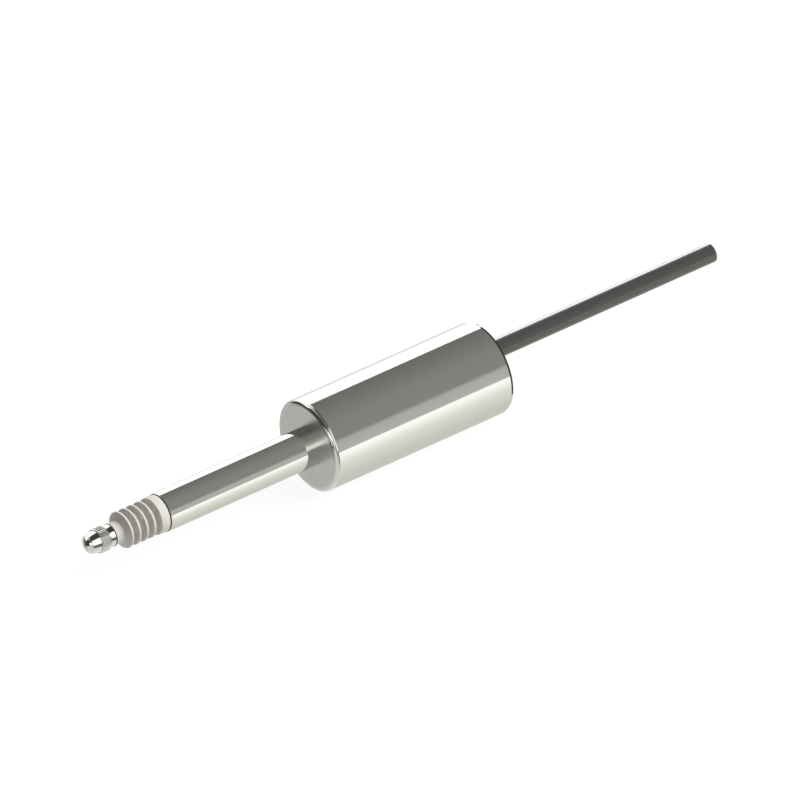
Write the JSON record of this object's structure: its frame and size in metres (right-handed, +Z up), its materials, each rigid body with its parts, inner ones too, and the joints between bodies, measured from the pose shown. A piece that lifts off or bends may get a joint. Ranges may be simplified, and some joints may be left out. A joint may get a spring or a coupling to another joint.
{
  "type": "lvdt displacement sensor",
  "caption": "Slim spring-loaded displacement probe: round steel case, clamping stem, rubber gaiter, knurled domed contact tip and a cable out of the rear.",
  "frame": {"origin": "on the probe's axis, where the clamping stem leaves the front face of the case", "axes": "+X along the axis towards the contact tip, +Z up, on the side where the cable leaves the rear end"},
  "size_m": [0.1529, 0.019, 0.019],
  "materials": {
    "case_steel": "polished stainless steel",
    "stem_steel": "ground and polished stainless steel",
    "inner_steel": "ground hardened steel",
    "tip_steel": "turned stainless steel",
    "carbide": "polished carbide",
    "gaiter_rubber": "off-white moulded elastomer, matt",
    "seal_rubber": "black rubber, matt",
    "cable_sheath": "dark grey extruded sheath, satin",
    "lead_insulation": "coloured insulation",
    "brass": "turned brass",
    "copper": "enamelled copper wire",
    "soft_iron": "annealed nickel iron",
    "bobbin_plastic": "moulded plastic",
    "board_laminate": "glass laminate"
  },
  "bodies": {
    "housing": {"body_tube": "case_steel", "front_cap": "case_steel", "front_seal": "seal_rubber", "rear_cap": "case_steel", "rear_seal": "seal_rubber", "stem_tube": "stem_steel", "stem_nut": "inner_steel", "guide_sleeve": "inner_steel", "spring_seat": "brass", "return_spring": "inner_steel", "gaiter": "gaiter_rubber", "shield_tube": "soft_iron", "front_washer": "soft_iron", "rear_washer": "soft_iron", "coil_bobbin": "bobbin_plastic", "primary_winding": "copper", "front_secondary": "copper", "rear_secondary": "copper", "board_spacer": "bobbin_plastic", "terminal_board": "board_laminate", "terminal_pins": "brass", "cable_leads": "lead_insulation", "cable_grommet": "seal_rubber", "cable_ferrule": "brass", "cable_jacket": "cable_sheath"},
    "plunger": {"spindle": "inner_steel", "stop_ring": "inner_steel", "key_pin": "inner_steel", "cuff_washer": "seal_rubber", "gaiter_ring": "tip_steel", "contact_tip": "tip_steel", "tip_dome": "carbide", "core_rod": "inner_steel", "core_sleeve": "soft_iron", "core_nut": "brass"},
    "cage": {"ball_cage": "brass", "guide_balls": "inner_steel"}
  },
  "joints": [
    {"name": "plunger_slide", "type": "slide", "parent": "housing", "child": "plunger", "axis": [-1, 0, 0], "range_m": [0, 0.005], "stiffness_N_per_m": 60, "springref_m": -0.012, "deforming": ["gaiter", "return_spring"]},
    {"name": "cage_slide", "type": "slide", "parent": "housing", "child": "cage", "axis": [-1, 0, 0], "range_m": [0, 0.0025]}
  ],
  "couplings": [
    {"joint": "cage_slide", "follows": "plunger_slide", "ratio": 0.5}
  ]
}
